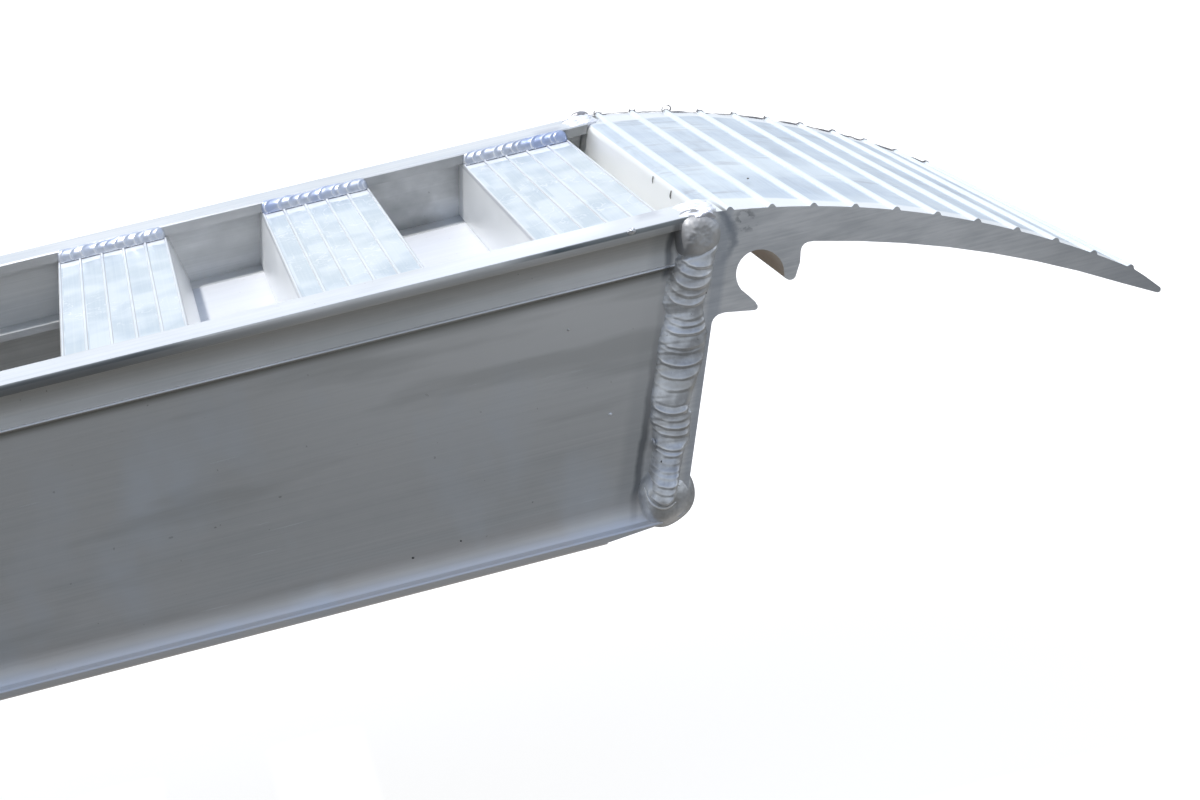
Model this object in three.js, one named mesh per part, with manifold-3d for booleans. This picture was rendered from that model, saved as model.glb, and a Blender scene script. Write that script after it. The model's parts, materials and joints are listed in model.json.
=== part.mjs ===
// A folding aluminium loading ramp: two ladder sections of extruded side rails and tube rungs,
// joined by a two-pivot link hinge, with a curved hook plate at the top end and a toe plate at the
// bottom end. Millimetres, +Z up. X runs along the deck towards the hook and Y runs across it.
// The parts are drawn in the deck frame, whose zero is the top of the rails at the hook end, and the
// whole group is then moved so that its origin is the bottom centre of the ramp.

import * as THREE from "three";
import { mergeVertices } from "three/addons/utils/BufferGeometryUtils.js";
import Module from "manifold-3d";

const wasm = await Module();
wasm.setup();

const DEGREE = Math.PI / 180;

// Overall sizes
const WIDTH = 305;
const RAIL_DEPTH = 120;
const HALF_WIDTH = WIDTH / 2;
const GAP = 0.35;

// Rail section, measured from the outer edge inwards and from the top down
const FLANGE_WIDTH = 27.5;
const FLANGE_THICKNESS = 4.7;
const OUTER_OVERHANG = 8;
const WEB_THICKNESS = 5;
const SHELF_OVERHANG = 20.5;
const SHELF_THICKNESS = 3;
const SHELF_TOP = -31;
const COVE_START_Z = -13.2;
const COVE_DEPTH = 1.2;
const BEAD_TOP_Z = -18.1;
const BEAD_DEPTH = 2.1;
const BOTTOM_FILLET = 9;
const EDGE_ROUNDING = 0.6;
const WEB_OUTER = HALF_WIDTH - OUTER_OVERHANG;
const WEB_INNER = WEB_OUTER - WEB_THICKNESS;
const FLANGE_INNER = HALF_WIDTH - FLANGE_WIDTH;

// Rungs
const RUNG_PITCH = 96.4;
const RUNG_WIDTH = 50.8;
const RUNG_TOP = -5;
const RUNG_BOTTOM = -30.7;
const RUNG_SIDE_LEAN = 13 * DEGREE;
const RUNG_WALL = 3;
const RUNG_EDGE = 0.8;
const FIRST_RUNG_X = -35.8;
const UPPER_RUNGS = 10;
const LOWER_RUNGS = 11;
const RUNG_RIB_GAPS = 5;
const RUNG_RIB_HEIGHT = 0.6;
const RUNG_RIB_TOP = 0.8;
const RUNG_RIB_BASE = 1.6;
const RUNG_HALF_LENGTH = WEB_INNER - 0.3;

// Stiffening plate under the last rungs at the hook end
const PLATE_THICKNESS = 5;
const PLATE_START_X = -250;
const PLATE_END_X = -13.5;

// Hook plate: a ribbed arc, a bar pocket between two prongs and a leaning leg
const LEG_LEAN = 20 * DEGREE;
const LEG_BACK_Z = -3;
const LEG_THICKNESS = 7.8;
const LEG_BOTTOM_Z = -116.2;
const HOOK_ARC = { x: -41.2, z: -351.6, radius: 353.6, start: 7.4, end: 36.1 };
const HOOK_CORNER_RADIUS = 3.9;
const HOOK_UNDER_ARC = { x: -51.4, z: -426.9, radius: 415.5, start: 30.2, end: 12.7 };
const HOOK_FIRST_RIB = 8.29;
const HOOK_RIBS = 11;
const HOOK_RIB_STEP = 2.7;
const HOOK_TIP = { x: 172.4, z: -74.3, radius: 1.3 };
const POCKET = { x: 16.3, z: -29, radius: 9.6 };
const RIB_HEIGHT = 1.35;
const RIB_BASE = 3.2;
const RIB_CROWN = 1.4;

// Hinge between the two sections
const HINGE_X = FIRST_RUNG_X - RUNG_PITCH * (UPPER_RUNGS - 0.5);
const BUTT_GAP = 0.5;
const PIVOT_HEIGHT = 28;
const PIVOT_SETBACK = 32;
const PIVOT_Z = PIVOT_HEIGHT - RAIL_DEPTH;
const PIVOT_RADIUS = 6;
const PIVOT_HOLE_RADIUS = 6.4;
const LINK_RADIUS = 18;
const LINK_THICKNESS = 5;
const LINK_GAP = 0.4;
const COPE_LENGTH = PIVOT_SETBACK + LINK_RADIUS + 3;
const WASHER_RADIUS = 12;
const WASHER_THICKNESS = 2;
const NUT_ACROSS_FLATS = 19;
const NUT_HEIGHT = 7;
const NUT_COLLAR_HEIGHT = 3;
const NUT_COLLAR_RADIUS = 8.4;
const BOLT_HEAD_RADIUS = 13;
const BOLT_HEAD_HEIGHT = 3.4;
const BOLT_END_PAST_NUT = 3;
const BOLT_CHAMFER = 0.8;

// Lower end: the rails taper along the line of the ground, and a toe plate closes them
const RAMP_ANGLE = 20 * DEGREE;
const TAPER_START_X = -1837.3;
const LOWER_END_X = -1997.3;
const TOE_TIP_X = -2112.3;
const TOE_ARC_RADIUS = 409;
const TOE_TOP_Z = -1.7;
const TOE_LEG_THICKNESS = 8;
const TOE_FIRST_RIB = 1.6;
const TOE_RIBS = 6;
const TOE_RIB_STEP = 2.35;
const TOE_TIP_RADIUS = 1.3;

const HOOK_TIP_X = HOOK_TIP.x + HOOK_TIP.radius;

const aluminium = (colour, roughness) => ({ color: colour, roughness, metalness: 0.9 });
const RAIL_FINISH = aluminium(0x9aa0a5, 0.42);
const RUNG_FINISH = aluminium(0xd6dde2, 0.35);
const HOOK_FINISH = aluminium(0xc3cad0, 0.38);
const PLATE_FINISH = aluminium(0xdfe5ea, 0.4);
const STEEL_FINISH = { color: 0xa9abad, roughness: 0.35, metalness: 0.95 };

const ramp = new THREE.Group();

function addPart(name, geometry, finish) {
  const mesh = new THREE.Mesh(geometry, new THREE.MeshStandardMaterial(finish));
  mesh.name = name;
  ramp.add(mesh);
}

// Booleans

function toSolid(geometry) {
  const bare = geometry.clone();
  bare.deleteAttribute("normal");
  bare.deleteAttribute("uv");
  const merged = mergeVertices(bare, 1e-4);
  return new wasm.Manifold(
    new wasm.Mesh({
      numProp: 3,
      vertProperties: new Float32Array(merged.attributes.position.array),
      triVerts: new Uint32Array(merged.index.array),
    }),
  );
}

function toGeometry(solid) {
  const mesh = solid.getMesh();
  const geometry = new THREE.BufferGeometry();
  geometry.setAttribute("position", new THREE.BufferAttribute(mesh.vertProperties, 3));
  geometry.setIndex(new THREE.BufferAttribute(mesh.triVerts, 1));
  const flat = geometry.toNonIndexed();
  flat.computeVertexNormals();
  return flat;
}

// Outlines

const point = (x, y) => new THREE.Vector2(x, y);

// Points along an arc, with angles in degrees measured from +X of the outline towards its +Y.
function arc(x, y, radius, from, to, step = 15) {
  const count = Math.max(1, Math.round(Math.abs(to - from) / step));
  const points = [];
  for (let i = 0; i <= count; i += 1) {
    const angle = (from + ((to - from) * i) / count) * DEGREE;
    points.push(point(x + radius * Math.cos(angle), y + radius * Math.sin(angle)));
  }
  return points;
}

function outline(points, holes = []) {
  const shape = new THREE.Shape(points);
  shape.holes = holes.map((hole) => new THREE.Path(hole));
  return shape;
}

// An outline drawn in Y and Z, swept along X.
function sweepAlongX(shape, fromX, toX) {
  const geometry = new THREE.ExtrudeGeometry(shape, { depth: toX - fromX, bevelEnabled: false });
  const basis = new THREE.Matrix4().makeBasis(
    new THREE.Vector3(0, 1, 0),
    new THREE.Vector3(0, 0, 1),
    new THREE.Vector3(1, 0, 0),
  );
  return geometry.applyMatrix4(basis).translate(fromX, 0, 0);
}

// An outline drawn in X and Z, swept along Y.
function sweepAlongY(shape, fromY, toY) {
  const geometry = new THREE.ExtrudeGeometry(shape, { depth: toY - fromY, bevelEnabled: false });
  const basis = new THREE.Matrix4().makeBasis(
    new THREE.Vector3(1, 0, 0),
    new THREE.Vector3(0, 0, 1),
    new THREE.Vector3(0, -1, 0),
  );
  return geometry.applyMatrix4(basis).translate(0, toY, 0);
}

function cylinderAlongY(x, z, radius, fromY, toY) {
  const geometry = new THREE.CylinderGeometry(radius, radius, toY - fromY, 24);
  return geometry.translate(x, (fromY + toY) / 2, z);
}

function box(fromX, toX, fromY, toY, fromZ, toZ) {
  const geometry = new THREE.BoxGeometry(toX - fromX, toY - fromY, toZ - fromZ);
  return geometry.translate((fromX + toX) / 2, (fromY + toY) / 2, (fromZ + toZ) / 2);
}

const groundZ = (x) => -RAIL_DEPTH + Math.tan(RAMP_ANGLE) * (TAPER_START_X - x);
const legBackX = (z) => (z - LEG_BACK_Z) * Math.tan(LEG_LEAN);

// Rails

// The extruded section of a rail. Side is 1 for the left rail, at +Y, and -1 for the right rail.
// Below the top flange the outer face slopes out to a narrow rounded bead.
function railSection(side) {
  const filletRadius = 3;
  const outerEdge = HALF_WIDTH - EDGE_ROUNDING;
  const bottom = -RAIL_DEPTH;
  const filletTop = bottom + 4 + BOTTOM_FILLET;
  const points = [
    point(FLANGE_INNER, -0.6),
    point(FLANGE_INNER + 0.6, 0),
    ...arc(outerEdge, -EDGE_ROUNDING, EDGE_ROUNDING, 90, 0, 45),
    ...arc(outerEdge, EDGE_ROUNDING - FLANGE_THICKNESS, EDGE_ROUNDING, 0, -90, 45),
    ...arc(WEB_OUTER + filletRadius, -FLANGE_THICKNESS - filletRadius, filletRadius, 90, 180, 30),
    point(WEB_OUTER, COVE_START_Z),
    point(WEB_OUTER + COVE_DEPTH * 0.25, COVE_START_Z - 1.3),
    point(WEB_OUTER + COVE_DEPTH, BEAD_TOP_Z),
    point(WEB_OUTER + BEAD_DEPTH - 0.4, BEAD_TOP_Z - 0.25),
    point(WEB_OUTER + BEAD_DEPTH - 0.1, BEAD_TOP_Z - 0.6),
    point(WEB_OUTER + BEAD_DEPTH, BEAD_TOP_Z - 1),
    point(WEB_OUTER + BEAD_DEPTH - 0.15, BEAD_TOP_Z - 1.4),
    point(WEB_OUTER + BEAD_DEPTH - 0.6, BEAD_TOP_Z - 1.8),
    point(WEB_OUTER, BEAD_TOP_Z - 2.2),
    point(WEB_OUTER, filletTop),
    point(WEB_OUTER + 0.6, filletTop - BOTTOM_FILLET * 0.5),
    point(WEB_OUTER + 1.7, filletTop - BOTTOM_FILLET * 0.8),
    point(WEB_OUTER + 3.2, filletTop - BOTTOM_FILLET),
    point(HALF_WIDTH - 0.7, bottom + 3.6),
    point(HALF_WIDTH, bottom + 3),
    point(HALF_WIDTH, bottom + 0.6),
    point(HALF_WIDTH - 0.6, bottom),
    point(FLANGE_INNER + 0.6, bottom),
    point(FLANGE_INNER, bottom + 0.6),
    point(FLANGE_INNER, bottom + FLANGE_THICKNESS - 0.6),
    point(FLANGE_INNER + 0.6, bottom + FLANGE_THICKNESS),
    ...arc(
      WEB_INNER - filletRadius,
      bottom + FLANGE_THICKNESS + filletRadius,
      filletRadius,
      -90,
      0,
      30,
    ),
    point(WEB_INNER, SHELF_TOP - SHELF_THICKNESS),
    point(WEB_INNER - SHELF_OVERHANG, SHELF_TOP - SHELF_THICKNESS),
    point(WEB_INNER - SHELF_OVERHANG, SHELF_TOP),
    point(WEB_INNER, SHELF_TOP),
    point(WEB_INNER, -FLANGE_THICKNESS),
    point(FLANGE_INNER, -FLANGE_THICKNESS),
  ];
  return outline(points.map((p) => point(side * p.x, p.y)));
}

// Where a rail meets the hinge: a butt face above the pivot and an arc round the pivot below it.
// Direction is 1 when the rail lies on the +X side of the hinge.
function hingeEndPoints(direction) {
  const faceX = HINGE_X + (direction * BUTT_GAP) / 2;
  const pivotX = HINGE_X + direction * PIVOT_SETBACK;
  const radius = Math.abs(pivotX - faceX);
  const lowest = Math.asin(PIVOT_HEIGHT / radius) / DEGREE;
  const round = arc(0, PIVOT_Z, radius, 180 + lowest, 180, 6);
  return [...round.map((p) => point(pivotX + direction * p.x, p.y)), point(faceX, 0)];
}

function upperRailSide() {
  const mitreX = (z) => legBackX(z) - GAP;
  const trimStartX = -65;
  const trimDepth = 0.7;
  const trimEndZ = -117.4;
  return outline([
    point(mitreX(0), 0),
    point(mitreX(trimEndZ), trimEndZ),
    point(trimStartX, trimDepth - RAIL_DEPTH),
    point(trimStartX, -RAIL_DEPTH),
    ...hingeEndPoints(1),
  ]);
}

function lowerRailSide() {
  return outline([
    ...hingeEndPoints(-1),
    point(LOWER_END_X, 0),
    point(LOWER_END_X, groundZ(LOWER_END_X)),
    point(TAPER_START_X, -RAIL_DEPTH),
  ]);
}

// Clears the bottom flanges out of the path of the link plates, on both faces of the web.
function hingeCope(side, direction) {
  const nearX = HINGE_X - direction * 5;
  const farX = HINGE_X + direction * COPE_LENGTH;
  const past = 20;
  const cut = (fromY, toY) =>
    toSolid(
      box(
        Math.min(nearX, farX),
        Math.max(nearX, farX),
        Math.min(side * fromY, side * toY),
        Math.max(side * fromY, side * toY),
        -RAIL_DEPTH - past,
        PIVOT_Z - 10,
      ),
    );
  return cut(WEB_OUTER, HALF_WIDTH + past).add(cut(FLANGE_INNER - past, WEB_INNER));
}

function makeRail(side, direction) {
  const past = 10;
  const fromX = direction > 0 ? HINGE_X - past : LOWER_END_X - past;
  const toX = direction > 0 ? past : HINGE_X + past;
  const reach = HALF_WIDTH + past;
  const sideShape = direction > 0 ? upperRailSide() : lowerRailSide();
  const pivotX = HINGE_X + direction * PIVOT_SETBACK;
  const rail = toSolid(sweepAlongX(railSection(side), fromX, toX))
    .intersect(toSolid(sweepAlongY(sideShape, -reach, reach)))
    .subtract(hingeCope(side, direction))
    .subtract(toSolid(cylinderAlongY(pivotX, PIVOT_Z, PIVOT_HOLE_RADIUS, -reach, reach)));
  return toGeometry(rail);
}

// Rungs

// A tube with a narrower top than base, its walls leaning out as they go down, and low ribs along
// its top face, two at the edges and the rest between. The +X wall leans by rightLean.
function rungSection(rightLean) {
  const half = RUNG_WIDTH / 2;
  const base = RUNG_TOP - RUNG_RIB_HEIGHT;
  const floorZ = RUNG_BOTTOM + RUNG_WALL;
  const roofZ = base - RUNG_WALL;
  const sidePoints = (lean) => {
    const sideX = (z) => half + (RUNG_TOP - z) * Math.tan(lean);
    const inset = RUNG_WALL / Math.cos(lean);
    return {
      outer: [
        point(sideX(RUNG_BOTTOM) - RUNG_EDGE, RUNG_BOTTOM),
        point(sideX(RUNG_BOTTOM + RUNG_EDGE), RUNG_BOTTOM + RUNG_EDGE),
        point(sideX(RUNG_TOP - 0.3), RUNG_TOP - 0.3),
        point(half - 0.3, RUNG_TOP),
        point(half - RUNG_RIB_TOP, RUNG_TOP),
        point(half - RUNG_RIB_TOP - 0.4, base),
      ],
      inner: [point(sideX(roofZ) - inset, roofZ), point(sideX(floorZ) - inset, floorZ)],
    };
  };
  const mirrored = (points) => points.map((p) => point(-p.x, p.y)).reverse();
  const right = sidePoints(rightLean);
  const left = sidePoints(RUNG_SIDE_LEAN);
  const ribs = [];
  for (let i = 1; i < RUNG_RIB_GAPS; i += 1) {
    const x = half - (i * RUNG_WIDTH) / RUNG_RIB_GAPS;
    ribs.push(
      point(x + RUNG_RIB_BASE / 2, base),
      point(x + RUNG_RIB_TOP / 2, RUNG_TOP),
      point(x - RUNG_RIB_TOP / 2, RUNG_TOP),
      point(x - RUNG_RIB_BASE / 2, base),
    );
  }
  const hole = [...right.inner, ...mirrored(left.inner)];
  return outline([...right.outer, ...ribs, ...mirrored(left.outer)], [hole]);
}

// The rung nearest the hook keeps an upright wall on that side, clear of the leaning hook leg.
function makeRung(centreX) {
  const rightLean = centreX === FIRST_RUNG_X ? 0 : RUNG_SIDE_LEAN;
  const rung = sweepAlongY(rungSection(rightLean), -RUNG_HALF_LENGTH, RUNG_HALF_LENGTH);
  return rung.translate(centreX, 0, 0);
}

function makeStiffeningPlate() {
  const halfWidth = WEB_INNER - SHELF_OVERHANG - 0.4;
  return box(
    PLATE_START_X,
    PLATE_END_X,
    -halfWidth,
    halfWidth,
    SHELF_TOP - PLATE_THICKNESS,
    SHELF_TOP,
  );
}

// Hook and toe plates

// Points along the crown of a ribbed arc. Angles are in degrees from straight up, positive towards
// +X when direction is 1 and towards -X when it is -1.
function ribbedArc({ x, z, radius, start, end }, firstRib, ribs, ribStep, direction) {
  const at = (angle, rise) =>
    point(
      x + direction * (radius + rise) * Math.sin(angle * DEGREE),
      z + (radius + rise) * Math.cos(angle * DEGREE),
    );
  const spread = (width) => width / 2 / radius / DEGREE;
  const points = [at(start, 0)];
  for (let i = 0; i < ribs; i += 1) {
    const middle = firstRib + i * ribStep;
    points.push(
      at(middle - spread(RIB_BASE), 0),
      at(middle - spread(RIB_CROWN), RIB_HEIGHT * 0.85),
      at(middle, RIB_HEIGHT),
      at(middle + spread(RIB_CROWN), RIB_HEIGHT * 0.85),
      at(middle + spread(RIB_BASE), 0),
    );
    const between = middle + ribStep / 2;
    if (between < end) points.push(at(between, 0));
  }
  return points;
}

function hookProfile() {
  const under = HOOK_UNDER_ARC;
  const legFrontX = (z) => legBackX(z) + LEG_THICKNESS / Math.cos(LEG_LEAN);
  const crown = ribbedArc(HOOK_ARC, HOOK_FIRST_RIB, HOOK_RIBS, HOOK_RIB_STEP, 1);
  const cornerZ = -0.85 - HOOK_CORNER_RADIUS;
  const cornerX =
    legBackX(cornerZ + HOOK_CORNER_RADIUS * Math.sin(LEG_LEAN)) +
    HOOK_CORNER_RADIUS * Math.cos(LEG_LEAN);
  return outline([
    ...arc(cornerX, cornerZ, HOOK_CORNER_RADIUS, 180 - LEG_LEAN / DEGREE, 90, 17),
    ...crown,
    point(168.1, -67.6),
    ...arc(HOOK_TIP.x, HOOK_TIP.z, HOOK_TIP.radius, 30, -120, 30),
    ...arc(under.x, under.z, under.radius, 90 - under.start, 90 - under.end, 2.5),
    ...arc(37.4, -25, 3.7, 90, 165, 25),
    point(32.7, -28.3),
    ...arc(27.9, -31.9, 2.5, -15, -165, 25),
    ...arc(POCKET.x, POCKET.z, POCKET.radius, 0, 229, 12),
    point(12.2, -39.4),
    ...arc(11.4, -41.2, 1.4, 40, -100, 35),
    point(-0.4, -40.6),
    ...arc(-1.9, -45.6, 5, 85, 155, 18),
    point(legFrontX(LEG_BOTTOM_Z + 1.5), LEG_BOTTOM_Z + 1.5),
    point(legFrontX(LEG_BOTTOM_Z) - 1.5, LEG_BOTTOM_Z),
    point(legBackX(LEG_BOTTOM_Z) + 1.5, LEG_BOTTOM_Z),
    point(legBackX(LEG_BOTTOM_Z + 1.5), LEG_BOTTOM_Z + 1.5),
  ]);
}

function toeProfile() {
  const backX = LOWER_END_X - GAP;
  const frontX = backX - TOE_LEG_THICKNESS;
  const crownArc = {
    x: LOWER_END_X,
    z: TOE_TOP_Z - TOE_ARC_RADIUS,
    radius: TOE_ARC_RADIUS,
    start: 0.2,
    end: 16,
  };
  const crown = ribbedArc(crownArc, TOE_FIRST_RIB, TOE_RIBS, TOE_RIB_STEP, -1);
  const tipX = TOE_TIP_X + TOE_TIP_RADIUS;
  const tipZ = groundZ(tipX) + TOE_TIP_RADIUS / Math.cos(RAMP_ANGLE);
  const padX = TOE_TIP_X + 16;
  return outline([
    point(backX, groundZ(backX)),
    point(backX, TOE_TOP_Z - 1),
    ...crown,
    ...arc(tipX, tipZ, TOE_TIP_RADIUS, 105, 255, 25),
    point(padX, groundZ(padX)),
    point(padX + 4, groundZ(padX) + 5),
    point(padX + 20, -18.2),
    point(frontX - 12, -11.4),
    ...arc(frontX - 5, -16, 5, 90, 0, 30),
    point(frontX, groundZ(frontX)),
  ]);
}

// Hinge hardware

// Y positions of one side's hinge stack, as distances from the middle of the ramp.
const OUTER_LINK_Y = WEB_OUTER + LINK_GAP;
const INNER_LINK_Y = WEB_INNER - LINK_GAP - LINK_THICKNESS;
const HEAD_Y = OUTER_LINK_Y + LINK_THICKNESS + LINK_GAP;
const WASHER_Y = INNER_LINK_Y - LINK_GAP - WASHER_THICKNESS;
const NUT_Y = WASHER_Y - GAP - NUT_HEIGHT;
const BOLT_END_Y = NUT_Y - NUT_COLLAR_HEIGHT - BOLT_END_PAST_NUT;

function makeLink(side, innerY) {
  const ends = [
    ...arc(HINGE_X + PIVOT_SETBACK, PIVOT_Z, LINK_RADIUS, -90, 90, 15),
    ...arc(HINGE_X - PIVOT_SETBACK, PIVOT_Z, LINK_RADIUS, 90, 270, 15),
  ];
  const holes = [1, -1].map((direction) =>
    arc(HINGE_X + direction * PIVOT_SETBACK, PIVOT_Z, PIVOT_HOLE_RADIUS, 0, 345, 15),
  );
  const from = Math.min(side * innerY, side * (innerY + LINK_THICKNESS));
  return sweepAlongY(outline(ends, holes), from, from + LINK_THICKNESS);
}

// Turns a shape made along +Y for the left side into its place on either side of the ramp.
function placeOnPivot(geometry, side, direction) {
  if (side < 0) geometry.rotateZ(Math.PI);
  return geometry.translate(HINGE_X + direction * PIVOT_SETBACK, 0, PIVOT_Z);
}

// A carriage bolt: domed head outside, shank through the links and the web, plain end inside.
function makeBolt(side, direction) {
  const domeTopY = HEAD_Y + BOLT_HEAD_HEIGHT;
  const rimY = HEAD_Y + 0.7;
  const dome = [0.25, 0.5, 0.75].map((share) =>
    point(BOLT_HEAD_RADIUS * (1 - share), rimY + (domeTopY - rimY) * Math.sin((share * Math.PI) / 2)),
  );
  const profile = [
    point(0, BOLT_END_Y),
    point(PIVOT_RADIUS - BOLT_CHAMFER, BOLT_END_Y),
    point(PIVOT_RADIUS, BOLT_END_Y + BOLT_CHAMFER),
    point(PIVOT_RADIUS, HEAD_Y),
    point(BOLT_HEAD_RADIUS, HEAD_Y),
    point(BOLT_HEAD_RADIUS, rimY),
    ...dome,
    point(0, domeTopY),
  ];
  return placeOnPivot(new THREE.LatheGeometry(profile, 24), side, direction);
}

function makeWasher(side, direction) {
  const profile = [
    point(PIVOT_HOLE_RADIUS, WASHER_Y),
    point(WASHER_RADIUS, WASHER_Y),
    point(WASHER_RADIUS, WASHER_Y + WASHER_THICKNESS),
    point(PIVOT_HOLE_RADIUS, WASHER_Y + WASHER_THICKNESS),
    point(PIVOT_HOLE_RADIUS, WASHER_Y),
  ];
  return placeOnPivot(new THREE.LatheGeometry(profile, 24), side, direction);
}

// A lock nut: a hexagon with a round collar on its inner end.
function makeNut(side, direction) {
  const cornerRadius = NUT_ACROSS_FLATS / 2 / Math.cos(30 * DEGREE);
  const hexagon = outline(arc(0, 0, cornerRadius, 0, 300, 60));
  const collar = cylinderAlongY(0, 0, NUT_COLLAR_RADIUS, NUT_Y - NUT_COLLAR_HEIGHT, NUT_Y + 1);
  const nut = toSolid(sweepAlongY(hexagon, NUT_Y, NUT_Y + NUT_HEIGHT))
    .add(toSolid(collar))
    .subtract(toSolid(cylinderAlongY(0, 0, PIVOT_HOLE_RADIUS, BOLT_END_Y, HEAD_Y)));
  return placeOnPivot(toGeometry(nut), side, direction);
}

// Assembly

const SIDES = [
  { name: "left", side: 1 },
  { name: "right", side: -1 },
];
const SECTIONS = [
  { name: "upper", direction: 1, rungs: UPPER_RUNGS, firstX: FIRST_RUNG_X },
  {
    name: "lower",
    direction: -1,
    rungs: LOWER_RUNGS,
    firstX: FIRST_RUNG_X - RUNG_PITCH * UPPER_RUNGS,
  },
];

for (const section of SECTIONS) {
  for (let i = 0; i < section.rungs; i += 1) {
    const x = section.firstX - i * RUNG_PITCH;
    addPart(`${section.name}_rung_${i + 1}`, makeRung(x), RUNG_FINISH);
  }
  for (const { name, side } of SIDES) {
    const place = `${section.name}_${name}`;
    addPart(`${place}_rail`, makeRail(side, section.direction), RAIL_FINISH);
    addPart(`${place}_pivot_bolt`, makeBolt(side, section.direction), STEEL_FINISH);
    addPart(`${place}_pivot_washer`, makeWasher(side, section.direction), STEEL_FINISH);
    addPart(`${place}_pivot_nut`, makeNut(side, section.direction), STEEL_FINISH);
  }
}
for (const { name, side } of SIDES) {
  addPart(`${name}_outer_link`, makeLink(side, OUTER_LINK_Y), STEEL_FINISH);
  addPart(`${name}_inner_link`, makeLink(side, INNER_LINK_Y), STEEL_FINISH);
}
addPart("stiffening_plate", makeStiffeningPlate(), PLATE_FINISH);
addPart("hook_plate", sweepAlongY(hookProfile(), -HALF_WIDTH, HALF_WIDTH), HOOK_FINISH);
addPart("toe_plate", sweepAlongY(toeProfile(), -HALF_WIDTH, HALF_WIDTH), HOOK_FINISH);

ramp.position.set(-(HOOK_TIP_X + TOE_TIP_X) / 2, 0, RAIL_DEPTH);

export default ramp;
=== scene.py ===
import json
import math
import random

import bpy
from mathutils import Matrix, Vector, noise


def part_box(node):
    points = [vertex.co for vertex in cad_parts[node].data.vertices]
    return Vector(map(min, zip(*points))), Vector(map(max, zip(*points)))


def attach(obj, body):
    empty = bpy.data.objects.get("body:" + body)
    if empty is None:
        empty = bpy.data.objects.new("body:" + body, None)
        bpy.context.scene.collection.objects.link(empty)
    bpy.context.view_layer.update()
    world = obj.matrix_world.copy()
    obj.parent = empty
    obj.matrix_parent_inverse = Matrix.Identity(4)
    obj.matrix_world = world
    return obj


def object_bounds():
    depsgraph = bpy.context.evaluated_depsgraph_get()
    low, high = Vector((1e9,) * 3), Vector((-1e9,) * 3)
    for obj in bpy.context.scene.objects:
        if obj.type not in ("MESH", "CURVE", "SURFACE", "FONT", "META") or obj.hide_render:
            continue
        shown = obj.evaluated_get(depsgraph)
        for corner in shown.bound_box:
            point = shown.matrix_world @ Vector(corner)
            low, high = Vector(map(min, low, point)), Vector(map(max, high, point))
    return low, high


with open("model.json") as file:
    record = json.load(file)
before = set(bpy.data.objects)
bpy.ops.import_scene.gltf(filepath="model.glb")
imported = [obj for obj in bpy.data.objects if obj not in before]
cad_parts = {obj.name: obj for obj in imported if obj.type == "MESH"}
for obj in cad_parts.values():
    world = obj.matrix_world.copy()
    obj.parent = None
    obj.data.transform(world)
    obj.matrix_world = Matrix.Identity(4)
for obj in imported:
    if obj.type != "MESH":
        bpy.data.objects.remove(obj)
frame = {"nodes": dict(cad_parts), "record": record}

# Looks of a folding loading ramp: mill-finish aluminium, zinc-plated hinge hardware and the weld
# beads that hold it together. Lengths are in metres, and the MM factor turns millimetres into them.

MM = 0.001
CAD_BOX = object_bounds()

# The deck frame: X from the rails' hook end towards the hook, Z from the rails' top faces.
HOOK_REACH = 173.7 * MM
DECK_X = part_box("hook_plate")[1].x - HOOK_REACH
DECK_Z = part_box("upper_right_rail")[1].z
HALF_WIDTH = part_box("hook_plate")[1].y
FLANGE_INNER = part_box("upper_left_rail")[0].y + 6.5 * MM
WEB_OUTER = HALF_WIDTH - 8 * MM
WEB_INNER = WEB_OUTER - 5 * MM
# The hook leg's back face crosses X = 0 at this height and leans by this much.
LEG_LEAN = math.radians(20)
LEG_BACK_Z = -3 * MM


def deck(x, y, z):
    """A point given in millimetres in the deck frame, as a point of the row frame."""
    return Vector((DECK_X + x * MM, y * MM, DECK_Z + z * MM))


# Materials

WHITE = (1.0, 1.0, 1.0)


def add(tree, kind, inputs=None, **settings):
    """Adds a shader node. An input is given a value or linked to another node's output."""
    node = tree.nodes.new(kind)
    for key, value in settings.items():
        setattr(node, key, value)
    for key, value in (inputs or {}).items():
        if isinstance(value, bpy.types.NodeSocket):
            tree.links.new(value, node.inputs[key])
        else:
            node.inputs[key].default_value = value
    return node


def object_coordinates(tree, scale=(1, 1, 1), turn=(0, 0, 0)):
    place = add(tree, "ShaderNodeTexCoord").outputs["Object"]
    mapping = add(tree, "ShaderNodeMapping", {"Vector": place, "Scale": scale, "Rotation": turn})
    return mapping.outputs["Vector"]


def noise_value(tree, scale, detail=3.0, turn=(0, 0, 0), roughness=0.5):
    inputs = {
        "Vector": object_coordinates(tree, scale, turn),
        "Scale": 1.0,
        "Detail": detail,
        "Roughness": roughness,
    }
    return add(tree, "ShaderNodeTexNoise", inputs).outputs["Fac"]


def remap(tree, value, from_min, from_max, to_min=0.0, to_max=1.0):
    inputs = {
        "Value": value,
        "From Min": from_min,
        "From Max": from_max,
        "To Min": to_min,
        "To Max": to_max,
    }
    return add(tree, "ShaderNodeMapRange", inputs).outputs["Result"]


def maths(tree, operation, a, b=0.0, clamp=False):
    node = add(tree, "ShaderNodeMath", {0: a, 1: b}, operation=operation, use_clamp=clamp)
    return node.outputs["Value"]


def times(tree, a, *factors):
    """The product of values, each a number or another node's output."""
    for factor in factors:
        a = maths(tree, "MULTIPLY", a, factor)
    return a


def plus(tree, a, b):
    return maths(tree, "ADD", a, b)


def minus(tree, a, b):
    return maths(tree, "SUBTRACT", a, b)


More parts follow.
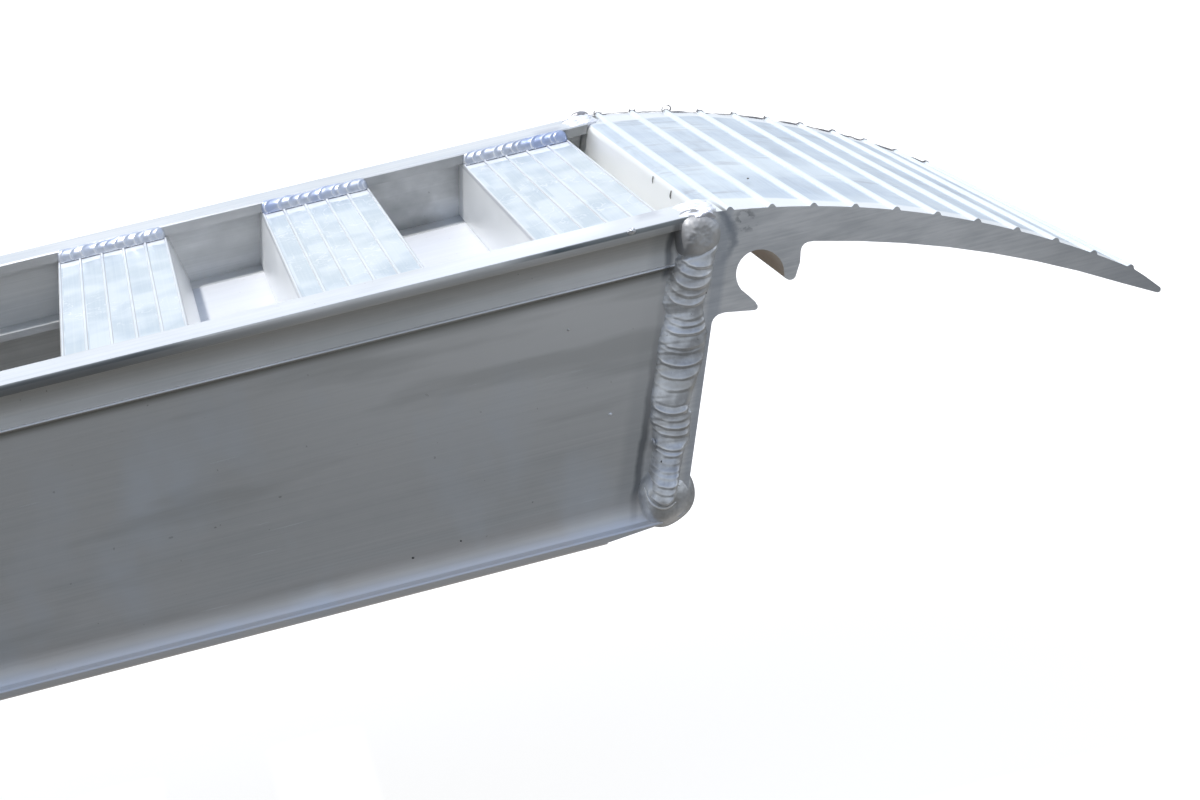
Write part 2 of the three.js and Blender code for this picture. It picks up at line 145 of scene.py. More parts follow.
def mix_colour(tree, factor, a, b, blend="MIX"):
    node = add(tree, "ShaderNodeMixRGB", {"Fac": factor}, blend_type=blend)
    for socket, colour in (("Color1", a), ("Color2", b)):
        if isinstance(colour, bpy.types.NodeSocket):
            tree.links.new(colour, node.inputs[socket])
        else:
            node.inputs[socket].default_value = (*colour, 1.0)
    return node.outputs["Color"]


def scratches(tree, turn, length, width, amount):
    """Sparse thin lines: 1 on a scratch and 0 elsewhere."""
    lines = noise_value(tree, (1 / length, 1 / width, 1 / width), 2.0, turn, 0.4)
    return remap(tree, lines, 0.76 - amount, 0.80 - amount)


def paint(tree, colour, coat, *shares):
    """Lays a coat over a colour, as far as the product of the shares."""
    return mix_colour(tree, times(tree, *shares), colour, coat)


def new_material(name):
    material = bpy.data.materials.new(name)
    material.use_nodes = True
    tree = material.node_tree
    tree.nodes.clear()
    shader = add(tree, "ShaderNodeBsdfPrincipled")
    output = add(tree, "ShaderNodeOutputMaterial")
    tree.links.new(shader.outputs["BSDF"], output.inputs["Surface"])
    return material, tree, shader


def finish_metal(tree, shader, colour, roughness, height, bump_mm, metallic):
    tree.links.new(colour, shader.inputs["Base Color"])
    tree.links.new(roughness, shader.inputs["Roughness"])
    shader.inputs["Metallic"].default_value = metallic
    bump = add(tree, "ShaderNodeBump", {"Height": height, "Strength": 1.0, "Distance": bump_mm * MM})
    tree.links.new(bump.outputs["Normal"], shader.inputs["Normal"])


def object_normal(tree, axis):
    """How far a face turns towards one axis of the row frame, either way, from 0 to 1."""
    normal = add(tree, "ShaderNodeTexCoord").outputs["Normal"]
    split = add(tree, "ShaderNodeSeparateXYZ", {"Vector": normal})
    return maths(tree, "ABSOLUTE", split.outputs[axis])


def object_place(tree):
    return add(tree, "ShaderNodeSeparateXYZ", {"Vector": object_coordinates(tree)}).outputs


def fade(tree, place, axis, start, end, low=0.0, high=1.0):
    """Goes from low to high between two places on an axis of the deck frame, in millimetres."""
    origin = {"X": DECK_X, "Y": 0.0, "Z": DECK_Z}[axis]
    return remap(tree, place[axis], origin + start * MM, origin + end * MM, low, high)


def inset(tree, place, start, end, low=0.0, high=1.0):
    """Goes from low to high between two distances in from the ramp's sides, in millimetres."""
    across = maths(tree, "ABSOLUTE", place["Y"])
    return remap(tree, across, HALF_WIDTH - start * MM, HALF_WIDTH - end * MM, low, high)


def band(tree, value, middle, half_width, soft):
    """1 where value is within half_width of middle, falling to 0 over soft."""
    offset = maths(tree, "ABSOLUTE", minus(tree, value, middle))
    return remap(tree, offset, half_width, half_width + soft, 1.0, 0.0)


def from_leg_back(tree, place):
    """Distance along X from the plane of the hook leg's back face."""
    lean = times(tree, minus(tree, place["Z"], DECK_Z + LEG_BACK_Z), math.tan(LEG_LEAN))
    return minus(tree, minus(tree, place["X"], DECK_X), lean)


def mill_aluminium(name, bright, dull, grain, roughness, metallic=0.72, detail=None):
    """Extruded or rolled aluminium, with its grain along one axis, stains and a few scratches.
    detail(tree, colour, rough) returns the two again with what only one sort of part has."""
    material, tree, shader = new_material(name)
    along, across = 5.0, 1300.0
    scale = tuple(along if axis == grain else across for axis in "xyz")
    coarse_scale = tuple(along * 0.6 if axis == grain else 210.0 for axis in "xyz")
    fine = noise_value(tree, scale, 2.0)
    coarse = noise_value(tree, coarse_scale, 3.0)
    stains = noise_value(tree, (14, 20, 30), 5.0, roughness=0.62)
    grain_mix = plus(tree, times(tree, fine, 0.45), times(tree, coarse, 0.55))
    tone = plus(tree, times(tree, grain_mix, 0.5), times(tree, stains, 0.5))
    colour = mix_colour(tree, remap(tree, tone, 0.36, 0.62), dull, bright)
    turn = (0, 0, 0.5) if grain == "y" else (0, 0.35, 0.2)
    marks_mask = maths(
        tree,
        "MAXIMUM",
        scratches(tree, turn, 0.05, 0.0007, 0.0),
        scratches(tree, tuple(-2.2 * a for a in turn), 0.03, 0.0005, -0.01),
    )
    colour = paint(tree, colour, (0.93, 0.95, 0.97), marks_mask, 0.5)
    specks = remap(tree, noise_value(tree, (420, 420, 420), 1.0), 0.79, 0.82, 0.0, 0.5)
    colour = paint(tree, colour, (0.16, 0.15, 0.14), specks)
    rough = remap(tree, tone, 0.3, 0.7, roughness + 0.08, roughness - 0.07)
    height = minus(tree, grain_mix, times(tree, marks_mask, 0.6))
    if detail:
        colour, rough = detail(tree, colour, rough)
    finish_metal(tree, shader, colour, rough, height, 0.05, metallic)
    return material


def rail_detail(tree, colour, rough):
    """Painted shade on the flange's edge, under the flange and under the bead, painted light on the flange
    tops and the web, a painted highlight on the bead's crest, dark bands beside the end weld, patches,
    streaks and smudges.
    """
    place = object_place(tree)
    across = maths(tree, "ABSOLUTE", place["Y"])
    sideways = remap(tree, object_normal(tree, "Y"), 0.6, 0.9)
    colour = shaded_flange_edge(tree, colour, place)
    colour = flange_top_light_and_patches(tree, colour, place)
    colour = bead_shade_and_highlight(tree, colour, place, across, sideways)
    colour = dark_bands_beside_weld(tree, colour, place, sideways)
    colour = web_light_and_streaks(tree, colour, place, across, sideways)
    return colour, rough


def shaded_flange_edge(tree, colour, place):
    # Painted shade on the flange's outer edge: a patchy dark line along its top, strongest by the hook and
    # far back, and the outer face below it darker further back.
    patchiness = remap(tree, noise_value(tree, (30, 1, 1), 3.0), 0.35, 0.62, -0.3, 0.1)
    by_hook = fade(tree, place, "X", -82, -60, 0.0, 1.2)
    far_back = fade(tree, place, "X", -225, -185, 0.8, 0.0)
    edge_shade = maths(tree, "ADD", patchiness, maths(tree, "MAXIMUM", by_hook, far_back), clamp=True)
    edge = band(tree, place["Z"], DECK_Z - 1.2 * MM, 0.6 * MM, 0.5 * MM)
    colour = paint(tree, colour, (0.13, 0.16, 0.18), inset(tree, place, 0.5, 0.1), edge, edge_shade)
    return paint(
        tree,
        colour,
        (0.16, 0.17, 0.18),
        inset(tree, place, 0.8, 0.3),
        fade(tree, place, "Z", -1.2, -0.7, 1.0, 0.0),
        fade(tree, place, "X", -240, -150, 0.75, 0.0),
        fade(tree, place, "Z", -60, -50),
    )


def flange_top_light_and_patches(tree, colour, place):
    upward = times(tree, remap(tree, object_normal(tree, "Z"), 0.85, 0.95), fade(tree, place, "Z", -1, -0.5))
    towards_hook = fade(tree, place, "X", -150, -30, 0.0, 0.8)
    # Painted light: the near flange's top is lightened towards the hook.
    colour = paint(tree, colour, WHITE, upward, towards_hook, fade(tree, place, "Y", 50, -50))
    stale = remap(tree, noise_value(tree, (12, 60, 12), 4.0), 0.42, 0.66, 0.15, 0.7)
    colour = paint(tree, colour, (0.56, 0.60, 0.64), stale, fade(tree, place, "Y", 50, 100), upward)
    # Painted shade: a ragged band across the flange tops just before the hook leg, fading out towards their
    # outer edges.
    ragged = times(tree, noise_value(tree, (70, 70, 70), 3.0), 14 * MM)
    shade_band = band(tree, plus(tree, place["X"], ragged), DECK_X - 12 * MM, 3 * MM, 4 * MM)
    return paint(tree, colour, (0.42, 0.43, 0.50), shade_band, inset(tree, place, 10, 20, 0.0, 0.5), upward)


def bead_shade_and_highlight(tree, colour, place, across, sideways):
    """Painted shade under the flange, on what stands out of the outer face below the cove's top and just
    under the bead, with a painted highlight along the bead's crest.
    """
    # Painted shade under the flange's overhang.
    below_flange = fade(tree, place, "Z", -9, -4.7, 0.0, 0.35)
    colour = paint(tree, colour, (0.35, 0.34, 0.32), below_flange, inset(tree, place, 1, 2), sideways)
    # Light painted shade on what stands out of the outer face below the cove's top.
    outside = remap(tree, across, WEB_OUTER - 0.1 * MM, WEB_OUTER + 0.2 * MM)
    colour = paint(tree, colour, (0.35, 0.35, 0.34), fade(tree, place, "Z", -14, -13, 0.3, 0.0), outside)
    # A painted highlight along the bead's crest.
    lip = band(tree, place["Z"], DECK_Z - 18.45 * MM, 0.35 * MM, 0.2 * MM)
    colour = paint(tree, colour, WHITE, lip, remap(tree, across, WEB_OUTER + MM, WEB_OUTER + 1.3 * MM))
    # Painted shade just under the bead.
    under = times(tree, fade(tree, place, "Z", -19.3, -18.9, 0.72, 0.0), fade(tree, place, "Z", -23, -20.4))
    return paint(tree, colour, (0.20, 0.19, 0.17), under, remap(tree, across, WEB_INNER, WEB_OUTER))


def dark_bands_beside_weld(tree, colour, place, sideways):
    # A dark line along the end weld's left edge on the rail's side faces, and a faint grey band beyond it.
    frayed = times(tree, noise_value(tree, (120, 120, 120), 2.0), 2.4 * MM)
    beside = plus(tree, from_leg_back(tree, place), frayed)
    dark_band = band(tree, beside, -10.6 * MM, 0.7 * MM, 1.5 * MM)
    colour = paint(tree, colour, (0.16, 0.17, 0.19), dark_band, sideways, 0.8)
    stain = band(tree, beside, -15 * MM, 1.5 * MM, 3.5 * MM)
    return paint(tree, colour, (0.30, 0.33, 0.36), stain, sideways, 0.22)


def web_light_and_streaks(tree, colour, place, across, sideways):
    """Painted light on the web's outer face high up, stronger by the hook, darker low down, painted light at
    its foot, hazy and streaked, and painted shade with smudges on the inner face.
    """
    # Painted light on the outer face high up, stronger towards the hook.
    high = times(tree, fade(tree, place, "Z", -85, -27, 0.0, 0.9), fade(tree, place, "Z", -22, -25))
    high = times(tree, high, remap(tree, across, WEB_INNER + MM, WEB_OUTER - MM))
    colour = paint(tree, colour, WHITE, high, fade(tree, place, "X", -200, -90, 0.25, 1.0))
    # Darker low down.
    colour = paint(tree, colour, (0.72, 0.69, 0.67), fade(tree, place, "Z", -103, -108, 0.0, 0.5))
    # Painted light at the foot of the web and below it, towards the outer side.
    foot = fade(tree, place, "Z", -113.5, -115.5, 0.0, 0.65)
    colour = paint(tree, colour, (1.0, 0.98, 0.97), foot, remap(tree, across, WEB_INNER, WEB_OUTER))
    haze = remap(tree, noise_value(tree, (22, 9, 13), 3.0, (0, 0.35, 0)), 0.50, 0.66, 0.0, 0.55)
    colour = paint(tree, colour, (0.80, 0.85, 0.92), haze, fade(tree, place, "Z", -20, -26))
    streak = remap(tree, noise_value(tree, (9, 9, 70), 3.0, (0, 0.03, 0)), 0.54, 0.66, 0.0, 0.35)
    colour = paint(tree, colour, (0.48, 0.49, 0.48), streak)
    # Painted shade on the inner face by the hook, patchy, with smudges in it.
    inside = remap(tree, across, WEB_INNER + 0.3 * MM, WEB_INNER + MM, 1.0, 0.0)
    shade_and_smudges = remap(tree, noise_value(tree, (40, 40, 55), 4.0), 0.36, 0.64, 0.35, 0.95)
    by_hook = fade(tree, place, "X", -270, -80)
    return paint(tree, colour, (0.30, 0.31, 0.31), sideways, inside, by_hook, shade_and_smudges)


RIDGE_PITCH = 9.7 * MM
RUNG_TOP_Z = -5.2


def rung_detail(tree, colour, rough):
    """Fine lines and painted highlights at the ridges, painted shade on their flanks, soft patches between
    them, and a painted reflection: a pale zone beside each weld.
    """
    place = object_place(tree)
    top = remap(tree, object_normal(tree, "Z"), 0.8, 0.95)
    colour = mix_colour(tree, top, (0.95, 0.95, 0.94), colour)
    lane = maths(tree, "FLOOR", maths(tree, "DIVIDE", minus(tree, place["X"], DECK_X), RIDGE_PITCH))
    shift = add(tree, "ShaderNodeCombineXYZ", {"X": lane, "Y": times(tree, lane, 3.7)})
    inputs = {0: object_coordinates(tree, (36, 26, 36)), 1: shift.outputs["Vector"]}
    spot = add(tree, "ShaderNodeVectorMath", inputs, operation="ADD").outputs["Vector"]
    patch_noise = add(tree, "ShaderNodeTexNoise", {"Vector": spot, "Scale": 1.0, "Detail": 2.0})
    patches = remap(tree, patch_noise.outputs["Fac"], 0.42, 0.58)
    colour = paint(tree, colour, (0.88, 0.91, 0.92), patches, top, 0.48)
    creases = band(tree, noise_value(tree, (95, 60, 95), 3.0, (0, 0, 0.9)), 0.5, 0.004, 0.012)
    fading = remap(tree, noise_value(tree, (20, 20, 20), 2.0), 0.46, 0.60, 0.0, 0.55)
    colour = paint(tree, colour, (0.98, 0.98, 0.98), creases, top, fading)
    # A painted highlight on the ridges' crests.
    colour = paint(tree, colour, WHITE, fade(tree, place, "Z", -5.25, -5.12, 0.0, 0.4))
    # Painted shade on the ridges' flanks.
    flank = times(tree, remap(tree, object_normal(tree, "X"), 0.25, 0.4), fade(tree, place, "Z", -7, -6.6))
    colour = paint(tree, colour, (0.45, 0.45, 0.48), flank, 0.5)
    # Painted reflection: the tops are paler in a ragged zone beside each weld, and rougher there.
    ragged = times(tree, noise_value(tree, (60, 60, 60), 3.0), 14 * MM)
    across = plus(tree, maths(tree, "ABSOLUTE", place["Y"]), ragged)
    reflection_zone = times(tree, remap(tree, across, 115 * MM, 118 * MM), top)
    colour = paint(tree, colour, (0.96, 0.96, 0.96), reflection_zone, 0.8)
    return colour, plus(tree, rough, times(tree, reflection_zone, 0.15))


# The hook's top is an arc about a line along Y, here in millimetres of the deck frame. Its ribs
# stand at even angles from upright.
HOOK_ARC_X, HOOK_ARC_Z, HOOK_ARC_RADIUS = -41.2, -351.6, 353.6
RIB_COUNT = 11
RIB_HEIGHT = 1.35
FIRST_RIB = math.radians(8.29)
RIB_STEP = math.radians(2.7)
RIB_PITCH = RIB_STEP * HOOK_ARC_RADIUS
BLOB_CENTRE = deck(-4, 0, -9.5)
SMUDGE_CENTRE = deck(15, 0, -7)
POCKET_CENTRE = deck(16.3, 0, -29)


def reach_from(tree, place, centre):
    """Distance from an axis along Y through centre, with its X and Z parts."""
    run = minus(tree, place["X"], centre.x)
    rise = minus(tree, place["Z"], centre.z)
    squares = plus(tree, times(tree, run, run), times(tree, rise, rise))
    return maths(tree, "SQRT", squares), run, rise


def hook_detail(tree, colour, rough):
    """A banded top with painted highlights by the ribs, a warm pocket, painted light on the back face, and
    saw-cut ends that are rougher.
    """
    place = object_place(tree)
    reach, run, rise = reach_from(tree, place, deck(HOOK_ARC_X, 0, HOOK_ARC_Z))
    top = remap(tree, reach, (HOOK_ARC_RADIUS - 0.6) * MM, (HOOK_ARC_RADIUS - 0.3) * MM)
    angle = maths(tree, "ARCTAN2", run, rise)
    colour = mix_colour(tree, top, colour, hook_top(tree, colour, place, angle))
    pocket_reach, _, _ = reach_from(tree, place, POCKET_CENTRE)
    pocket = remap(tree, pocket_reach, 10.0 * MM, 11.0 * MM, 0.8, 0.0)
    colour = paint(tree, colour, (1.0, 0.86, 0.72), pocket)
    # Painted light: the hook leg's back face is made paler.
    back_face = band(tree, from_leg_back(tree, place), 0.0, 1.0 * MM, 0.3 * MM)
    colour = paint(tree, colour, (0.88, 0.88, 0.86), back_face)
    end = remap(tree, object_normal(tree, "Y"), 0.85, 0.95)
    colour = mix_colour(tree, end, colour, saw_cut(tree, place))
    return colour, plus(tree, rough, times(tree, end, 0.2))


def hook_top(tree, colour, place, angle):
    """Painted highlights beside the ribs, smears and rubs between them, a pale margin by the rails, and
    painted shade in the groove before the first rib.
    """
    phase = maths(tree, "DIVIDE", minus(tree, angle, FIRST_RIB), RIB_STEP)
    offset = times(tree, minus(tree, phase, maths(tree, "ROUND", phase)), RIB_PITCH)
    smears = remap(tree, noise_value(tree, (130, 17, 90), 4.0, roughness=0.6), 0.52, 0.66)
    colour = paint(tree, colour, (0.44, 0.49, 0.55), smears, 0.5)
    pools = remap(tree, noise_value(tree, (16, 13, 16), 3.0), 0.48, 0.60, 0.0, 0.45)
    colour = paint(tree, colour, (0.84, 0.90, 0.92), pools)
    rubs = remap(tree, noise_value(tree, (55, 140, 55), 4.0, (0, 0, 0.25), 0.6), 0.46, 0.66)
    spread = remap(tree, noise_value(tree, (24, 24, 24), 2.0), 0.50, 0.64, 0.0, 0.6)
    colour = paint(tree, colour, (0.36, 0.38, 0.42), rubs, spread)
    ragged = times(tree, noise_value(tree, (25, 25, 25), 3.0), 16 * MM)
    margin = plus(tree, maths(tree, "ABSOLUTE", place["Y"]), ragged)
    margin = plus(tree, margin, fade(tree, place, "X", 50, 10, 0.0, 16 * MM))
    colour = paint(tree, colour, (0.93, 0.93, 0.92), remap(tree, margin, 143 * MM, 147 * MM, 0.0, 0.8))
    # Painted highlights along each rib, mostly on its side towards the hinge.
    wander = times(tree, noise_value(tree, (30, 9, 30), 2.0), 2.6)
    pale = remap(tree, plus(tree, offset, wander), -1.6, -0.2)
    colour = paint(tree, colour, (0.88, 0.93, 0.96), pale, remap(tree, offset, 0.8, 1.3, 1.0, 0.0), 0.85)
    colour = paint(tree, colour, (0.30, 0.29, 0.30), inset(tree, place, 0.5, 0.1, 0.0, 0.5))
    # Painted shade in the groove before the first rib.
    groove = band(tree, place["X"], DECK_X + 7.6 * MM, 0.5 * MM, 0.5 * MM)
    return paint(tree, colour, (0.20, 0.20, 0.19), groove, inset(tree, place, 30, 4))


def saw_cut(tree, place):
    """The colour of the hook's sawn ends, with a darker band along the weld and a dark ring round its top
    blob.
    """
    saw = noise_value(tree, (60, 60, 1000), 3.0, (0, -0.62, 0))
    patches = noise_value(tree, (55, 55, 110), 4.0, (0, -0.62, 0))
    tone = plus(tree, times(tree, saw, 0.4), times(tree, patches, 0.6))
    colour = mix_colour(tree, remap(tree, tone, 0.36, 0.62), (0.77, 0.78, 0.79), WHITE)
    # A darker band along the end weld.
    dark_band = band(tree, from_leg_back(tree, place), 8.0 * MM, 1.6 * MM, 2.2 * MM)
    colour = paint(tree, colour, (0.42, 0.47, 0.55), dark_band, 0.4)
    blob_reach, _, _ = reach_from(tree, place, BLOB_CENTRE)
    fray = times(tree, noise_value(tree, (160, 160, 160), 4.0, roughness=0.65), 5 * MM)
    halo = band(tree, plus(tree, blob_reach, fray), 15.2 * MM, 0.4 * MM, 2.0 * MM)
    colour = paint(tree, colour, (0.27, 0.31, 0.37), halo, fade(tree, place, "Z", -24, -15, 0.0, 0.6))
    smudge_reach, _, _ = reach_from(tree, place, SMUDGE_CENTRE)
    smudges = remap(tree, noise_value(tree, (330, 330, 440), 3.0), 0.50, 0.60, 0.0, 0.7)
    near = remap(tree, smudge_reach, 5.5 * MM, 2 * MM)
    colour = paint(tree, colour, (0.22, 0.23, 0.25), smudges, near)
    return paint(tree, colour, (0.45, 0.46, 0.48), fade(tree, place, "X", 110, 170, 0.0, 0.6))


WARM_GREY = (0.60, 0.58, 0.54)


def weld_metal(name, dull, bright, smooth, matte, painted_light_colour=WHITE, metallic=0.8, tint=WARM_GREY):
    """Cast-looking weld metal. Its "lip" attribute, from 0 to 1, marks where the given lip colour is laid
    on: a painted highlight when that colour is pale, painted shade when it is dark.
    """
    material, tree, shader = new_material(name)
    patches = noise_value(tree, (70, 70, 90), 4.0, roughness=0.6)
    grains = noise_value(tree, (600, 600, 600), 3.0)
    tone = plus(tree, times(tree, patches, 0.8), times(tree, grains, 0.2))
    colour = mix_colour(tree, remap(tree, tone, 0.36, 0.62), dull, bright)
    tinted = remap(tree, noise_value(tree, (45, 45, 70), 2.0), 0.52, 0.66, 0.0, 0.6)
    colour = paint(tree, colour, tint, tinted)
    pits = remap(tree, noise_value(tree, (420, 420, 420), 1.0), 0.79, 0.81)
    colour = paint(tree, colour, (0.12, 0.12, 0.13), pits, 0.6)
    # Painted light: the lip colour laid on as far as each vertex's lip value.
    lips = add(tree, "ShaderNodeAttribute", attribute_name="lip").outputs["Fac"]
    colour = paint(tree, colour, painted_light_colour, lips)
    rough = remap(tree, tone, 0.3, 0.7, matte, smooth)
    finish_metal(tree, shader, colour, rough, grains, 0.06, metallic)
    return material


def grime(name):
    """Burnt black residue in pits and gouges."""
    material, tree, shader = new_material(name)
    grains = noise_value(tree, (1500, 1500, 1500), 3.0)
    colour = mix_colour(tree, remap(tree, grains, 0.35, 0.65), (0.05, 0.05, 0.05), (0.20, 0.20, 0.19))
    finish_metal(tree, shader, colour, remap(tree, grains, 0.3, 0.7, 0.75, 0.55), grains, 0.05, 0.2)
    return material


def zinc_steel(name):
    material, tree, shader = new_material(name)
    patches = noise_value(tree, (260, 260, 260), 4.0, roughness=0.6)
    grains = noise_value(tree, (2400, 2400, 2400), 2.0)
    tone = plus(tree, times(tree, patches, 0.65), times(tree, grains, 0.35))
    colour = mix_colour(tree, remap(tree, tone, 0.36, 0.62), (0.44, 0.44, 0.43), (0.66, 0.67, 0.66))
    rough = remap(tree, tone, 0.3, 0.7, 0.42, 0.28)
    finish_metal(tree, shader, colour, rough, tone, 0.06, 0.95)
    return material


# Mesh building


def loft(rings):
    """A closed body through rings of points, as (vertices, faces). Rings have equal lengths."""
    count = len(rings[0])
    vertices = [p for ring in rings for p in ring]
    faces = []
    for i in range(len(rings) - 1):
        for j in range(count):
            k = (j + 1) % count
            faces.append((i * count + j, i * count + k, (i + 1) * count + k, (i + 1) * count + j))
    last = (len(rings) - 1) * count
    faces.append(tuple(reversed(range(count))))
    faces.append(tuple(last + j for j in range(count)))
    return vertices, faces


def make_piece(name, bodies, material, body):
    """One object holding several closed bodies, riding on a CAD body."""
    vertices, faces = [], []
    for body_vertices, body_faces in bodies:
        start = len(vertices)
        vertices.extend(body_vertices)
        faces.extend(tuple(start + i for i in face) for face in body_faces)
    mesh = bpy.data.meshes.new(name)
    mesh.from_pydata([tuple(v)[:3] for v in vertices], [], faces)
    mesh.validate()
    mesh.update()
    # The lip attribute carries each vertex's share of painted light.
    lips = mesh.attributes.new("lip", "FLOAT", "POINT")
    lips.data.foreach_set("value", [v[3] if len(v) == 4 else 0.0 for v in vertices])
    piece = bpy.data.objects.new(name, mesh)
    bpy.context.scene.collection.objects.link(piece)
    bpy.context.view_layer.objects.active = piece
    for other in bpy.context.selected_objects:
        other.select_set(False)
    piece.select_set(True)
    bpy.ops.object.mode_set(mode="EDIT")
    bpy.ops.mesh.select_all(action="SELECT")
    bpy.ops.mesh.normals_make_consistent(inside=False)
    bpy.ops.object.mode_set(mode="OBJECT")
    mesh.polygons.foreach_set("use_smooth", [True] * len(mesh.polygons))
    mesh.materials.append(material)
    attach(piece, body)
    return piece


# Weld beads


def marked(point, lip):
    """A point with its lip value, its share of painted light, as a fourth number."""
    return Vector((point.x, point.y, point.z, max(0.0, min(1.0, lip))))


def brightened(body, lip):
    """The same body with one lip value, a share of painted highlight, all over."""
    vertices, faces = body
    return [marked(v, lip) for v in vertices], faces


class Ripples:
    """Overlapping crescents along a bead. Each lip is its place along the bead at the middle, its
    height, its bow (how far its ends trail) and its tilt (how far its far end leads), all in mm.
    After a lip its height is lost within DROP."""

    DROP = 1.3

    def __init__(self, lips, flare, crest):
        self.lips = sorted(lips)
        self.flare = flare
        self.crest = crest

    def lip_at(self, i, u):
        place, _, bow, tilt = self.lips[i]
        return place - bow * (1 - math.sqrt(1 - 0.97 * u * u)) + tilt * u

    def rise(self, t, u):
        """Height and lip value, the share of painted highlight at and just past each lip, at distance t
        along the bead and u across it, from -1 to 1.
        """
        for i in range(1, len(self.lips)):
            end = self.lip_at(i, u)
            if t < end:
                start = self.lip_at(i - 1, u)
                share = max(0.0, (t - start) / max(end - start, 0.3))
                fall = easing(1 - (t - start) / self.DROP, 0, 1)
                high, before = self.lips[i][1], self.lips[i - 1][1]
                gleam = math.exp(-(((end - t) / self.crest) ** 2)) * min(1.0, high * 1.6)
                behind = math.exp(-(((t - start) / (self.crest * 0.4)) ** 2)) * min(1.0, before * 1.6)
                return max(high * share ** self.flare, before * fall), max(gleam, behind)
        return 0.0, 0.0


def random_lips(seed, length, pitch, height, bow, tilt):
    draw = random.Random(seed)
    lips = []
    at = -3 * pitch
    while at < length + 4 * pitch:
        lips.append((at, height * draw.uniform(0.5, 1.3), bow * draw.uniform(0.8, 1.2), tilt))
        at += pitch * draw.uniform(0.5, 1.6)
    return lips


def leg_back_x(z):
    """Where the hook leg's back face is at a height, in millimetres of the deck frame."""
    return (z - LEG_BACK_Z / MM) * math.tan(LEG_LEAN)


def wobble(x, y, z, scale):
    return noise.noise(Vector((x, y, z)) * scale)


def easing(value, low, high):
    """0 at low, 1 at high and smooth between. High may lie below low."""
    share = max(0.0, min(1.0, (value - low) / (high - low)))
    return share * share * (3 - 2 * share)


# The end weld's outline in millimetres: a height on the rail, and there how far its left and right
# edges stand from the plane of the leg's back face.
END_WELD_OUTLINE = [
    (-6.0, -9.4, 6.3),
    (-15.3, -8.1, 6.3),
    (-16.7, -9.2, 5.7),
    (-26.5, -11.5, 5.6),
    (-33.0, -11.7, 4.2),
    (-36.9, -9.6, 3.8),
    (-46.0, -11.2, 6.9),
    (-57.0, -10.8, 6.9),
    (-67.6, -11.2, 4.5),
    (-74.6, -10.1, 3.4),
    (-75.6, -10.7, 5.3),
    (-80.8, -8.5, 5.2),
    (-86.5, -8.4, 6.1),
    (-88.4, -7.5, 4.5),
    (-97.9, -7.9, 3.6),
    (-106.0, -7.8, 2.9),
    (-110.0, -4.9, 0.4),
]
# The end weld's lips: the height of each on the rail at its middle, and how strong it is.
END_WELD_LIPS = [
    (-12.0, 0.3),
    (-19.7, 0.8),
    (-23.3, 0.6),
    (-27.5, 0.7),
    (-30.6, 0.5),
    (-34.1, 0.75),
    (-39.5, 0.35),
    (-42.0, 0.45),
    (-45.0, 0.7),
    (-50.4, 0.5),
    (-52.3, 0.3),
    (-57.1, 1.0),
    (-61.7, 0.5),
    (-66.0, 0.3),
    (-71.6, 0.3),
    (-74.8, 1.05),
    (-77.8, 0.3),
    (-80.7, 0.6),
    (-83.5, 0.5),
    (-88.8, 0.65),
    (-90.9, 0.5),
    (-93.9, 0.25),
    (-96.8, 0.35),
    (-99.0, 0.3),
    (-102.0, 0.6),
    (-104.9, 0.3),
    (-108.4, 1.1),
    (-114.0, 0.3),
    (-120.0, 0.3),
]
END_WELD_HUMP = 3.9


def table_at(table, z):
    """The row of a table of falling heights, interpolated at z."""
    if z >= table[0][0]:
        return table[0][1:]
    for above, below in zip(table, table[1:]):
        if z >= below[0]:
            share = (above[0] - z) / (above[0] - below[0])
            return tuple(a + (b - a) * share for a, b in zip(above[1:], below[1:]))
    return table[-1][1:]


def lip_curve(z):
    """The bow and tilt of the end weld's lip at a height on the rail."""
    bow = 4.2 + 2.2 * easing(z, -42, -34) * easing(-z, 20, 27)
    bow += 1.3 * easing(-z, 100, 108) - 1.1 * easing(-z, 76, 82)
    return bow, 1.2 + 1.4 * easing(-z, 45, 20)


